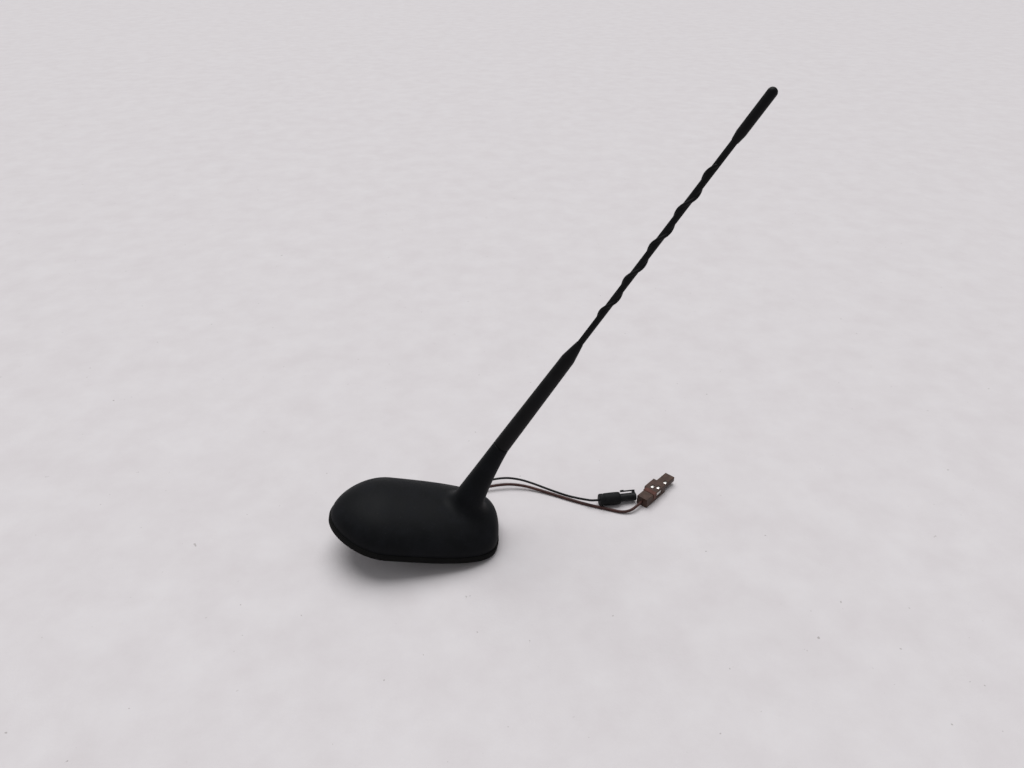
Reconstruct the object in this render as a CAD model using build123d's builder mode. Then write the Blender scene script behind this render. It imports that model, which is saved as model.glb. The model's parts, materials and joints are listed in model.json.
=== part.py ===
"""Roof antenna of a car: domed base with a raked neck, and a screw-in whip mast with an anti-whistle spiral.

Millimetres. +X points to the nose of the base, +Y to its left side and +Z up. The origin is on the axis of
the roof stud, in the plane of the roof under the gasket.
"""

import os
from math import cos, radians, sin, tan

from build123d import *

# Base outline seen from above: an egg with a slim nose and a blunt tail
BASE_LENGTH = 112.0
BASE_WIDTH = 70.0
STUD_FROM_NOSE = 44.0
CREST_FROM_NOSE = 37.0
NOSE_REACH = 0.48
NOSE_BLUNTNESS = 0.45
TAIL_REACH = 0.92
TAIL_BLUNTNESS = 0.80

# Gasket, cover and plate, stacked upwards from the roof
GASKET_HEIGHT = 4.0
GASKET_LIP = 1.0
GASKET_BAND = 8.0
GASKET_ROUNDING = 0.8
COVER_SKIRT = 1.0
COVER_RISE = 19.6
COVER_WALL = 2.5
PLATE_THICKNESS = 3.0
PLATE_CLEARANCE = 0.6

# Roof stud, hollow and slotted for the leads
STUD_RADIUS = 7.0
STUD_LENGTH = 14.0
STUD_CHAMFER = 1.0
STUD_BORE_RADIUS = 4.2
STUD_SLOT_WIDTH = 5.5
STUD_SLOT_ROOF_GAP = 2.5
SHOULDER_RADIUS = 10.0

# Neck and mast seat
MAST_RAKE = 69.0
MAST_ROOT_FROM_TAIL = 39.5
NECK_FOOT_ALONG_MAST = 15.8
NECK_LENGTH = 60.0
NECK_TOP_RADIUS = 5.3
NECK_MIDDLE_RADIUS = 8.0
NECK_FOOT_RADIUS = 12.4
NECK_BLEND = 9.0
NECK_EDGE = 0.4

# Threaded socket in the neck and the feed to the board
SOCKET_RADIUS = 3.6
SOCKET_DEPTH = 14.0
SOCKET_THREAD_DEPTH = 12.0
SOCKET_CLEARANCE = 0.05
FEED_RADIUS = 1.0
FEED_CLEARANCE = 0.15
FEED_TAIL = 1.2

# Mast
SCREW_RADIUS = 2.5
SCREW_LENGTH = 10.0
SCREW_CLEARANCE = 0.05
SCREW_POINT = 0.6
ANCHOR_RADIUS = 2.9
ANCHOR_LENGTH = 17.0
SEAL_THICKNESS = 0.8
SEAL_RADIUS = 4.9
SEAL_CLEARANCE = 0.15
FOOT_LENGTH = 73.0
FOOT_TOP_RADIUS = 4.2
FOOT_SHOULDER = 12.0
FOOT_LIP = 0.25
SHOULDER_ROUNDING = 3.0
WHIP_RADIUS = 1.9
WHIP_SOCKET = 24.0
WHIP_CLEARANCE = 0.05
WHIP_EXPOSED = 139.0
SPIRAL_START = 16.0
SPIRAL_LENGTH = 108.0
SPIRAL_PITCH = 23.7
SPIRAL_WIRE_RADIUS = 1.1
SPIRAL_SINK = 0.1
SPIRAL_PHASE = 132.0
TIP_LENGTH = 32.0
TIP_RADIUS = 2.85
TIP_SHOULDER = 5.0
TIP_SOCKET = 22.0

# Amplifier board on the plate
POST_RADIUS = 3.0
POST_HEIGHT = 3.0
BOARD_FROM_NOSE = 30.0
BOARD_FROM_TAIL = 26.0
BOARD_WIDTH = 34.0
BOARD_THICKNESS = 1.6
BOARD_CORNER = 4.0
BOARD_SCREW_MARGIN = 4.0
CAN_LENGTH = 26.0
CAN_WIDTH = 20.0
CAN_HEIGHT = 6.0
CAN_WALL = 0.6
CAN_CORNER = 1.5
CAN_AHEAD_OF_BOARD = 6.0

# Screws
BOARD_SCREW_RADIUS = 1.2
BOARD_SCREW_LENGTH = 5.0
BOARD_SCREW_HEAD_RADIUS = 2.2
BOARD_SCREW_HEAD_HEIGHT = 1.5
COVER_SCREW_RADIUS = 1.4
COVER_SCREW_LENGTH = 9.0
COVER_SCREW_HEAD_RADIUS = 2.6
COVER_SCREW_HEAD_HEIGHT = 1.8
SCREW_HOLE_CLEARANCE = 0.2
THREAD_CLEARANCE = 0.05
BOSS_RADIUS = 3.4
BOSS_FROM_NOSE = 20.0
BOSS_FROM_TAIL = 14.0
BOSS_SPREAD = 26.0

# Lead grommet in the stud
GROMMET_CLEARANCE = 0.1
GROMMET_PROUD = 1.2
GROMMET_INSET = 1.5
GROMMET_ROUNDING = 0.6

# Leads, and their routes on the table that the tail and the stud rest on: aft, right and height
LEAD_SPACING = 2.8
LEAD_EXIT_Z = -8.0
LEAD_EXIT_RUN = 6.5
BLACK_LEAD_RADIUS = 0.8
BROWN_LEAD_RADIUS = 1.0
ARC_SHARE = 0.45
BLACK_ROUTE = [
    (-68.5, 24.0, 4.4),
    (-61.0, 33.0, 3.0),
    (-47.0, 40.0, 2.2),
    (-28.0, 44.5, 2.2),
    (-9.0, 49.2, 3.4),
    (10.0, 51.9, 4.8),
    (22.0, 49.2, 4.2),
    (31.5, 44.3, 3.2),
    (42.5, 36.8, 2.2),
    (53.5, 29.8, 1.4),
    (61.0, 24.6, 2.3),
    (65.9, 20.0, 4.3),
    (70.0, 17.2, 5.25),
    (75.0, 17.6, 5.0),
]
BROWN_ROUTE = [
    (-64.0, 23.0, 3.6),
    (-56.5, 29.5, 2.2),
    (-43.0, 35.5, 1.6),
    (-25.0, 40.0, 2.0),
    (-6.0, 43.9, 3.2),
    (12.0, 45.4, 3.8),
    (24.0, 43.2, 2.9),
    (33.5, 39.0, 1.8),
    (44.0, 33.0, 1.1),
    (56.0, 25.0, 1.05),
    (69.0, 17.7, 1.05),
    (80.0, 12.3, 1.05),
    (89.0, 7.2, 1.1),
    (95.5, 6.9, 2.2),
    (100.6, 10.0, 3.5),
    (104.9, 13.6, 3.5),
]

# Black connector: rubber boot, round plug with a latch arm, sleeve contact
BOOT_LENGTH = 15.0
BOOT_REAR_RADIUS = 3.6
BOOT_RADIUS = 4.5
BOOT_FRONT_RADIUS = 4.2
BOOT_BELLY = 9.0
BOOT_ROUNDING = 0.5
JACK_RADIUS = 2.9
JACK_LENGTH = 12.0
JACK_STUB_RADIUS = 2.4
JACK_STUB_LENGTH = 6.0
JACK_CLEARANCE = 0.05
JACK_BORE_RADIUS = 2.0
JACK_BORE_DEPTH = 7.0
JACK_ROUNDING = 0.4
ARM_ROLL = 45.0
ARM_LENGTH = 10.5
ARM_WIDTH = 2.6
ARM_THICKNESS = 0.9
ARM_GAP = 1.0
ARM_ROOT = 2.0
ARM_HOOK = 0.5
SLEEVE_RADIUS = 1.2
SLEEVE_BORE_RADIUS = 0.6
SLEEVE_LENGTH = 8.0
SLEEVE_SEAT = 2.0

# Brown connector: flat housing with a snout, lock saddle and two contacts
HOUSING_LENGTH = 23.5
HOUSING_WIDTH = 8.4
HOUSING_HEIGHT = 7.0
HOUSING_ROUNDING = 0.4
SNOUT_LENGTH = 12.5
SNOUT_DROP = 0.8
SNOUT_LIFT = 2.2
SNOUT_STEP = 0.6
LATCH_THICKNESS = 2.0
LATCH_LENGTH = 11.5
LATCH_HEIGHT = 4.5
CHAMBER_SIZE = 2.4
CHAMBER_SPACING = 3.8
CHAMBER_RISE = 0.6
CHAMBER_DEPTH = 26.0
WINDOW_LENGTH = 2.4
WINDOW_WIDTH = 1.7
WINDOW_PLACES = [(15.7, 1, 0.0), (17.4, -1, 0.0), (26.5, -1, SNOUT_DROP)]
SIDE_WINDOW_LENGTH = 6.0
SIDE_WINDOW_HEIGHT = 2.2
SIDE_WINDOW_FROM_REAR = 15.4
LOCK_FROM_REAR = 8.0
LOCK_WIDTH = 3.4
LOCK_THICKNESS = 0.8
LOCK_CLEARANCE = 0.05
LOCK_PROUD = 0.3
LOCK_LEG = 5.0
TERMINAL_LENGTH = 24.5
TERMINAL_CLEARANCE = 0.05
TERMINAL_BORE = 1.2
TERMINAL_BORE_DEPTH = 8.0
LANCE_CLEARANCE = 0.2
LANCE_SINK = 0.4

# Places worked out from the sizes above
NOSE_X = STUD_FROM_NOSE
TAIL_X = NOSE_X - BASE_LENGTH
CREST_X = NOSE_X - CREST_FROM_NOSE
SPRING_Z = GASKET_HEIGHT + COVER_SKIRT
PLATE_TOP = GASKET_HEIGHT + PLATE_THICKNESS
BOARD_FRONT = NOSE_X - BOARD_FROM_NOSE
BOARD_REAR = TAIL_X + BOARD_FROM_TAIL
BOARD_LENGTH = BOARD_FRONT - BOARD_REAR
BOARD_Z = PLATE_TOP + POST_HEIGHT
SLOT_TOP = -STUD_SLOT_ROOF_GAP
PLATE_INSET = GASKET_LIP + COVER_WALL + PLATE_CLEARANCE
GROMMET_TOP = SLOT_TOP - GROMMET_CLEARANCE
GROMMET_HEIGHT = STUD_LENGTH + GROMMET_TOP - GROMMET_INSET
FOOT_TOP = FOOT_LENGTH + FOOT_SHOULDER
TIP_BOTTOM = FOOT_TOP + WHIP_EXPOSED
TIP_TOP = TIP_BOTTOM + TIP_LENGTH

LEAD_EXIT_Y = -STUD_RADIUS - GROMMET_PROUD
REST_SLOPE = STUD_LENGTH / (STUD_CHAMFER - STUD_RADIUS - TAIL_X)
TABLE = Plane((TAIL_X, 0, 0), x_dir=(-1, 0, REST_SLOPE), z_dir=(REST_SLOPE, 0, 1))

RAKE = radians(MAST_RAKE)
MAST_DIRECTION = Vector(-cos(RAKE), 0, sin(RAKE))
MAST_FRONT = Vector(sin(RAKE), 0, cos(RAKE))
SEAT_ALONG_MAST = NECK_FOOT_ALONG_MAST + NECK_LENGTH
SEAT = Vector(TAIL_X + MAST_ROOT_FROM_TAIL, 0, 0) + MAST_DIRECTION * SEAT_ALONG_MAST
MAST_AXIS = Axis(SEAT, MAST_DIRECTION)
MAST_SIDE = Plane(SEAT, x_dir=MAST_FRONT, z_dir=(0, -1, 0))

os.makedirs("parts", exist_ok=True)


def across_mast(along, back=0.0):
    """Plane square to the mast, along millimetres above its seat and back millimetres behind its axis."""
    origin = SEAT + MAST_DIRECTION * along - MAST_FRONT * back
    return Plane(origin, x_dir=(0, 1, 0), z_dir=MAST_DIRECTION)


def half_outline(inset):
    """Left half of the base's outline in plan, drawn inset from the rim."""
    nose = Vector(NOSE_X - inset, 0)
    tail = Vector(TAIL_X + inset, 0)
    half_width = BASE_WIDTH / 2 - inset
    crest = Vector(CREST_X, half_width)
    nose_run = nose.X - CREST_X
    tail_run = CREST_X - tail.X
    with BuildSketch(mode=Mode.PRIVATE) as half:
        with BuildLine():
            Bezier(
                nose,
                (nose.X, NOSE_BLUNTNESS * half_width),
                (CREST_X + NOSE_REACH * nose_run, half_width),
                crest,
            )
            Bezier(
                crest,
                (CREST_X - TAIL_REACH * tail_run, half_width),
                (tail.X, TAIL_BLUNTNESS * half_width),
                tail,
            )
            Line(tail, nose)
        make_face()
    return half.sketch


def outline(inset, mode=Mode.ADD):
    """Whole outline of the base in plan."""
    half = half_outline(inset)
    add(half, mode=mode)
    mirror(half, about=Plane.XZ, mode=mode)


def dome(inset, rise):
    """Half outline turned over the long axis and flattened to its rise."""
    half_width = BASE_WIDTH / 2 - inset
    with BuildPart() as form:
        with BuildSketch(Plane.XY):
            add(half_outline(inset))
        revolve(axis=Axis.X, revolution_arc=180)
        scale(by=(1, 1, rise / half_width))
    return Pos(0, 0, SPRING_Z) * form.part


def lead_points(side, route):
    """Route of a lead from the grommet's face to its connector."""
    leaves = Vector(side * LEAD_SPACING / 2, LEAD_EXIT_Y, LEAD_EXIT_Z)
    clears = leaves - Vector(0, LEAD_EXIT_RUN, 0)
    return [leaves, clears] + [TABLE.from_local_coords(Vector(*point)) for point in route]


def bend_radii(points):
    """Largest tangent arcs that the runs beside each inner point leave room for."""
    radii = []
    for before, corner, after in zip(points, points[1:], points[2:]):
        run_in = corner - before
        run_out = after - corner
        half_turn = radians(run_in.get_angle(run_out)) / 2
        radii.append(ARC_SHARE * min(run_in.length, run_out.length) / tan(half_turn))
    print("bend radii", [round(radius, 1) for radius in radii])
    return radii


def lead_end(points):
    """Plane at the far end of a lead: X runs on along it, Z up from the table."""
    ahead = points[-1] - points[-2]
    left = TABLE.z_dir.cross(ahead)
    return Plane(points[-1], x_dir=ahead, z_dir=ahead.cross(left))


def saddle(clearance):
    """Section of the lock over the housing, eased by the clearance of its groove."""
    sink = LOCK_THICKNESS - LOCK_PROUD + clearance
    with BuildSketch(mode=Mode.PRIVATE) as section:
        with Locations((0, HOUSING_HEIGHT / 2 + LOCK_PROUD)):
            Rectangle(
                HOUSING_WIDTH + 2 * LOCK_PROUD,
                LOCK_LEG + clearance,
                align=(Align.CENTER, Align.MAX),
            )
        with Locations((0, HOUSING_HEIGHT / 2 - sink)):
            Rectangle(
                HOUSING_WIDTH - 2 * sink,
                LOCK_LEG,
                align=(Align.CENTER, Align.MAX),
                mode=Mode.SUBTRACT,
            )
    return section.sketch


def finish(piece, label):
    """Name a finished piece and write it."""
    piece.label = label
    export_step(piece, f"parts/{label}.step")


BOSS_PLACES = [
    (NOSE_X - BOSS_FROM_NOSE, -BOSS_SPREAD / 2),
    (NOSE_X - BOSS_FROM_NOSE, BOSS_SPREAD / 2),
    (TAIL_X + BOSS_FROM_TAIL, -BOSS_SPREAD / 2),
    (TAIL_X + BOSS_FROM_TAIL, BOSS_SPREAD / 2),
]
BOARD_SCREW_SPAN = BOARD_LENGTH - 2 * BOARD_SCREW_MARGIN
BOARD_SCREW_SPREAD = BOARD_WIDTH - 2 * BOARD_SCREW_MARGIN
BOARD_PLANE = Plane(((BOARD_FRONT + BOARD_REAR) / 2, 0, BOARD_Z))

# Gasket: rubber ring between the base and the roof, its lip showing all round
with BuildPart() as roof_gasket:
    with BuildSketch():
        outline(0)
        outline(GASKET_BAND, mode=Mode.SUBTRACT)
    extrude(amount=GASKET_HEIGHT)
    fillet(roof_gasket.faces().sort_by(Axis.Z)[-1].outer_wire().edges(), GASKET_ROUNDING)
finish(roof_gasket.part, "roof_gasket")

# Cover: one moulding, a flattened dome that runs into the raked neck
cover_form = dome(GASKET_LIP, COVER_RISE)
cover_room = dome(GASKET_LIP + COVER_WALL, COVER_RISE - COVER_WALL)
boss_ceiling = dome(GASKET_LIP + COVER_WALL / 2, COVER_RISE - COVER_WALL / 2)
NECK_SECTIONS = [
    (0.0, NECK_TOP_RADIUS),
    (NECK_LENGTH / 2, NECK_MIDDLE_RADIUS),
    (NECK_LENGTH, NECK_FOOT_RADIUS),
]

with BuildPart() as neck:
    for depth, radius in NECK_SECTIONS:
        with BuildSketch(across_mast(-depth, radius - NECK_TOP_RADIUS)):
            Circle(radius)
    loft()

with BuildPart() as cover_bosses:
    with BuildSketch(Plane.XY.offset(PLATE_TOP)):
        with Locations(*BOSS_PLACES):
            Circle(BOSS_RADIUS)
    extrude(amount=COVER_RISE)
    add(boss_ceiling, mode=Mode.INTERSECT)

with BuildPart() as base_cover:
    add(cover_form)
    add(neck.part)
    fillet(base_cover.edges(Select.NEW), NECK_BLEND)
    with BuildSketch(Plane.XY.offset(GASKET_HEIGHT)):
        outline(GASKET_LIP)
    extrude(amount=COVER_SKIRT)
    add(cover_room, mode=Mode.SUBTRACT)
    with BuildSketch(Plane.XY.offset(GASKET_HEIGHT)):
        outline(GASKET_LIP + COVER_WALL)
    extrude(amount=COVER_SKIRT, mode=Mode.SUBTRACT)
    add(cover_bosses.part)
    with BuildSketch(Plane.XY.offset(PLATE_TOP)):
        with Locations(*BOSS_PLACES):
            Circle(COVER_SCREW_RADIUS + THREAD_CLEARANCE)
    extrude(amount=COVER_SCREW_LENGTH - PLATE_THICKNESS, mode=Mode.SUBTRACT)
    with BuildSketch(across_mast(0)):
        Circle(SOCKET_RADIUS + SOCKET_CLEARANCE)
    extrude(amount=-SOCKET_DEPTH, mode=Mode.SUBTRACT)
    with BuildSketch(across_mast(-SOCKET_DEPTH)):
        Circle(FEED_RADIUS + FEED_CLEARANCE)
    extrude(amount=-NECK_LENGTH, mode=Mode.SUBTRACT)
    chamfer(base_cover.faces().sort_by(MAST_AXIS)[-1].outer_wire().edges(), NECK_EDGE)
finish(base_cover.part, "base_cover")

# Plate: casting that carries the board, the cover and the hollow roof stud
with BuildPart() as base_plate:
    with BuildSketch(Plane.XY.offset(GASKET_HEIGHT)):
        outline(PLATE_INSET)
    extrude(amount=PLATE_THICKNESS)
    with BuildSketch():
        Circle(SHOULDER_RADIUS)
    extrude(amount=GASKET_HEIGHT)
    with BuildSketch():
        Circle(STUD_RADIUS)
    extrude(amount=-STUD_LENGTH)
    chamfer(base_plate.faces().sort_by(Axis.Z)[0].edges(), STUD_CHAMFER)
    with BuildSketch(BOARD_PLANE):
        with GridLocations(BOARD_SCREW_SPAN, BOARD_SCREW_SPREAD, 2, 2):
            Circle(POST_RADIUS)
    extrude(amount=-POST_HEIGHT)
    with BuildSketch(BOARD_PLANE):
        with GridLocations(BOARD_SCREW_SPAN, BOARD_SCREW_SPREAD, 2, 2):
            Circle(BOARD_SCREW_RADIUS + THREAD_CLEARANCE)
    extrude(amount=BOARD_THICKNESS - BOARD_SCREW_LENGTH, mode=Mode.SUBTRACT)
    with BuildSketch(Plane.XY.offset(PLATE_TOP)):
        Circle(STUD_BORE_RADIUS)
    extrude(amount=-PLATE_TOP - STUD_LENGTH, mode=Mode.SUBTRACT)
    with BuildSketch(Plane.XY.offset(SLOT_TOP)):
        Rectangle(STUD_SLOT_WIDTH, STUD_RADIUS, align=(Align.CENTER, Align.MAX))
    extrude(amount=-STUD_LENGTH - SLOT_TOP, mode=Mode.SUBTRACT)
    with Locations(*[Plane((x, y, GASKET_HEIGHT), z_dir=(0, 0, -1)) for x, y in BOSS_PLACES]):
        CounterBoreHole(
            radius=COVER_SCREW_RADIUS + SCREW_HOLE_CLEARANCE,
            counter_bore_radius=COVER_SCREW_HEAD_RADIUS + SCREW_HOLE_CLEARANCE,
            counter_bore_depth=COVER_SCREW_HEAD_HEIGHT,
            depth=PLATE_THICKNESS,
        )
finish(base_plate.part, "base_plate")

# Screws through the plate into the cover's bosses
with BuildPart() as cover_screws:
    with BuildSketch(Plane.XY.offset(GASKET_HEIGHT)):
        with Locations(*BOSS_PLACES):
            Circle(COVER_SCREW_HEAD_RADIUS)
    extrude(amount=COVER_SCREW_HEAD_HEIGHT)
    with BuildSketch(Plane.XY.offset(GASKET_HEIGHT)):
        with Locations(*BOSS_PLACES):
            Circle(COVER_SCREW_RADIUS)
    extrude(amount=COVER_SCREW_LENGTH)
finish(cover_screws.part, "cover_screws")

# Amplifier board with the hole that the feed rod is soldered into
with BuildPart() as circuit_board:
    with BuildSketch(BOARD_PLANE):
        RectangleRounded(BOARD_LENGTH, BOARD_WIDTH, BOARD_CORNER)
        with GridLocations(BOARD_SCREW_SPAN, BOARD_SCREW_SPREAD, 2, 2):
            Circle(BOARD_SCREW_RADIUS + SCREW_HOLE_CLEARANCE, mode=Mode.SUBTRACT)
    extrude(amount=BOARD_THICKNESS)
    with BuildSketch(across_mast(-SEAT_ALONG_MAST)):
        Circle(FEED_RADIUS + FEED_CLEARANCE)
    extrude(amount=SEAT_ALONG_MAST, mode=Mode.SUBTRACT)
finish(circuit_board.part, "circuit_board")

with BuildPart() as board_screws:
    with BuildSketch(BOARD_PLANE.offset(BOARD_THICKNESS)):
        with GridLocations(BOARD_SCREW_SPAN, BOARD_SCREW_SPREAD, 2, 2):
            Circle(BOARD_SCREW_HEAD_RADIUS)
    extrude(amount=BOARD_SCREW_HEAD_HEIGHT)
    with BuildSketch(BOARD_PLANE.offset(BOARD_THICKNESS)):
        with GridLocations(BOARD_SCREW_SPAN, BOARD_SCREW_SPREAD, 2, 2):
            Circle(BOARD_SCREW_RADIUS)
    extrude(amount=-BOARD_SCREW_LENGTH)
finish(board_screws.part, "board_screws")

# Shield can: drawn sheet box, open towards the board
with BuildPart() as shield_can:
    with BuildSketch(BOARD_PLANE.offset(BOARD_THICKNESS)):
        with Locations((CAN_AHEAD_OF_BOARD, 0)):
            RectangleRounded(CAN_LENGTH, CAN_WIDTH, CAN_CORNER)
    extrude(amount=CAN_HEIGHT)
    fillet(shield_can.faces().sort_by(Axis.Z)[-1].edges(), CAN_CORNER)
    offset(amount=-CAN_WALL, openings=shield_can.faces().sort_by(Axis.Z)[0])
finish(shield_can.part, "shield_can")

# Brass socket at the top of the neck, bored for the mast's thread
with BuildPart() as mast_socket:
    with BuildSketch(across_mast(0)):
        Circle(SOCKET_RADIUS)
    extrude(amount=-SOCKET_DEPTH)
    with BuildSketch(across_mast(0)):
        Circle(SCREW_RADIUS + SCREW_CLEARANCE)
    extrude(amount=-SOCKET_THREAD_DEPTH, mode=Mode.SUBTRACT)
finish(mast_socket.part, "mast_socket")

# Feed rod from the socket down through the board
FEED_LENGTH = SEAT_ALONG_MAST - SOCKET_DEPTH - (BOARD_Z - FEED_TAIL) / sin(RAKE)
with BuildPart() as feed_rod:
    with BuildSketch(across_mast(-SOCKET_DEPTH)):
        Circle(FEED_RADIUS)
    extrude(amount=-FEED_LENGTH)
finish(feed_rod.part, "feed_rod")

# Grommet moulded round the leads, filling the stud's bore and slot
with BuildPart() as lead_grommet:
    with BuildSketch(Plane.XY.offset(GROMMET_TOP)):
        Circle(STUD_BORE_RADIUS - GROMMET_CLEARANCE)
        Rectangle(
            STUD_SLOT_WIDTH - 2 * GROMMET_CLEARANCE,
            STUD_RADIUS + GROMMET_PROUD,
            align=(Align.CENTER, Align.MAX),
        )
    extrude(amount=-GROMMET_HEIGHT)
    fillet(lead_grommet.faces().sort_by(Axis.Y)[0].edges(), GROMMET_ROUNDING)
finish(lead_grommet.part, "lead_grommet")

# Tails of the two leads inside the stud, up to the board
with BuildPart() as lead_tails:
    for side, radius in ((1, BLACK_LEAD_RADIUS), (-1, BROWN_LEAD_RADIUS)):
        with BuildSketch(Plane.XY.offset(GROMMET_TOP)):
            with Locations((side * LEAD_SPACING / 2, 0)):
                Circle(radius)
        extrude(amount=BOARD_Z - GROMMET_TOP)
finish(lead_tails.part, "lead_tails")

# Mast screw: thread below the seal, anchor inside the foot
with BuildPart() as mast_screw:
    with BuildSketch(across_mast(SEAL_THICKNESS)):
        Circle(SCREW_RADIUS)
    extrude(amount=-SEAL_THICKNESS - SCREW_LENGTH)
    chamfer(mast_screw.faces().sort_by(MAST_AXIS)[0].edges(), SCREW_POINT)
    with BuildSketch(across_mast(SEAL_THICKNESS)):
        Circle(ANCHOR_RADIUS)
    extrude(amount=ANCHOR_LENGTH)
finish(mast_screw.part, "mast_screw")

# Rubber washer that seals the foot against the neck
with BuildPart() as mast_seal:
    with BuildSketch(across_mast(0)):
        Circle(SEAL_RADIUS)
        Circle(SCREW_RADIUS + SEAL_CLEARANCE, mode=Mode.SUBTRACT)
    extrude(amount=SEAL_THICKNESS)
finish(mast_seal.part, "mast_seal")

# Foot of the mast: long taper, then a steep shoulder down to the whip
with BuildPart() as mast_foot:
    with BuildSketch(MAST_SIDE):
        with BuildLine():
            Polyline(
                (0, SEAL_THICKNESS),
                (NECK_TOP_RADIUS, SEAL_THICKNESS),
                (FOOT_TOP_RADIUS, FOOT_LENGTH),
                (WHIP_RADIUS + FOOT_LIP, FOOT_TOP),
                (0, FOOT_TOP),
                close=True,
            )
        make_face()
    revolve(axis=MAST_AXIS)
    fillet(mast_foot.edges().filter_by(GeomType.CIRCLE).sort_by(MAST_AXIS)[1], SHOULDER_ROUNDING)
    with BuildSketch(across_mast(SEAL_THICKNESS)):
        Circle(ANCHOR_RADIUS + WHIP_CLEARANCE)
    extrude(amount=ANCHOR_LENGTH, mode=Mode.SUBTRACT)
    with BuildSketch(across_mast(FOOT_TOP)):
        Circle(WHIP_RADIUS + WHIP_CLEARANCE)
    extrude(amount=-WHIP_SOCKET, mode=Mode.SUBTRACT)
finish(mast_foot.part, "mast_foot")

# Whip: jacketed rod with a raised spiral that breaks up the wind
spiral_start = across_mast(FOOT_TOP + SPIRAL_START).location * Rotation(0, 0, SPIRAL_PHASE)
spiral = spiral_start * Helix(SPIRAL_PITCH, SPIRAL_LENGTH, WHIP_RADIUS - SPIRAL_SINK)
with BuildPart() as whip:
    with BuildSketch(across_mast(FOOT_TOP - WHIP_SOCKET)):
        Circle(WHIP_RADIUS)
    extrude(amount=WHIP_SOCKET + WHIP_EXPOSED + TIP_SOCKET)
    with BuildSketch(Plane(spiral @ 0, z_dir=spiral % 0)):
        Circle(SPIRAL_WIRE_RADIUS)
    sweep(path=spiral, is_frenet=True)
    with Locations(spiral @ 0, spiral @ 1):
        Sphere(SPIRAL_WIRE_RADIUS)
finish(whip.part, "whip")

# Tip: moulded cap with a rounded end
with BuildPart() as tip_cap:
    with BuildSketch(MAST_SIDE):
        with BuildLine():
            Polyline(
                (0, TIP_TOP),
                (0, TIP_BOTTOM),
                (WHIP_RADIUS + FOOT_LIP, TIP_BOTTOM),
                (TIP_RADIUS, TIP_BOTTOM + TIP_SHOULDER),
                (TIP_RADIUS, TIP_TOP - TIP_RADIUS),
            )
            RadiusArc((TIP_RADIUS, TIP_TOP - TIP_RADIUS), (0, TIP_TOP), -TIP_RADIUS)
        make_face()
    revolve(axis=MAST_AXIS)
    with BuildSketch(across_mast(TIP_BOTTOM)):
        Circle(WHIP_RADIUS + WHIP_CLEARANCE)
    extrude(amount=TIP_SOCKET, mode=Mode.SUBTRACT)
finish(tip_cap.part, "tip_cap")

# Leads: thin wires from the grommet across the table to their connectors
black_points = lead_points(1, BLACK_ROUTE)
with BuildPart() as black_lead:
    with BuildLine() as black_line:
        FilletPolyline(*black_points, radius=bend_radii(black_points))
    with BuildSketch(Plane(black_line.line @ 0, z_dir=black_line.line % 0)):
        Circle(BLACK_LEAD_RADIUS)
    sweep(path=black_line.line)
finish(black_lead.part, "black_lead")

brown_points = lead_points(-1, BROWN_ROUTE)
with BuildPart() as brown_lead:
    with BuildLine() as brown_line:
        FilletPolyline(*brown_points, radius=bend_radii(brown_points))
    with BuildSketch(Plane(brown_line.line @ 0, z_dir=brown_line.line % 0)):
        Circle(BROWN_LEAD_RADIUS)
    sweep(path=brown_line.line)
finish(brown_lead.part, "brown_lead")

# Black connector, in line with the end of its lead
boot_place = lead_end(black_points)
boot_side = Plane(boot_place.origin, x_dir=boot_place.x_dir, z_dir=-boot_place.y_dir)
boot_axis = Axis(boot_place.origin, boot_place.x_dir)
jack_plane = Plane(
    boot_place.origin + boot_place.x_dir * BOOT_LENGTH,
    x_dir=boot_place.y_dir,
    z_dir=boot_place.x_dir,
)
with BuildPart() as black_boot:
    with BuildSketch(boot_side):
        with BuildLine():
            Line((0, 0), (0, BOOT_REAR_RADIUS))
            ThreePointArc(
                (0, BOOT_REAR_RADIUS),
                (BOOT_BELLY, BOOT_RADIUS),
                (BOOT_LENGTH, BOOT_FRONT_RADIUS),
            )
            Polyline((BOOT_LENGTH, BOOT_FRONT_RADIUS), (BOOT_LENGTH, 0), (0, 0))
        make_face()
    revolve(axis=boot_axis)
    fillet(black_boot.edges().filter_by(GeomType.CIRCLE), BOOT_ROUNDING)
    with BuildSketch(jack_plane):
        Circle(JACK_STUB_RADIUS + JACK_CLEARANCE)
    extrude(amount=-JACK_STUB_LENGTH, mode=Mode.SUBTRACT)
finish(black_boot.part, "black_boot")

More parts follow.
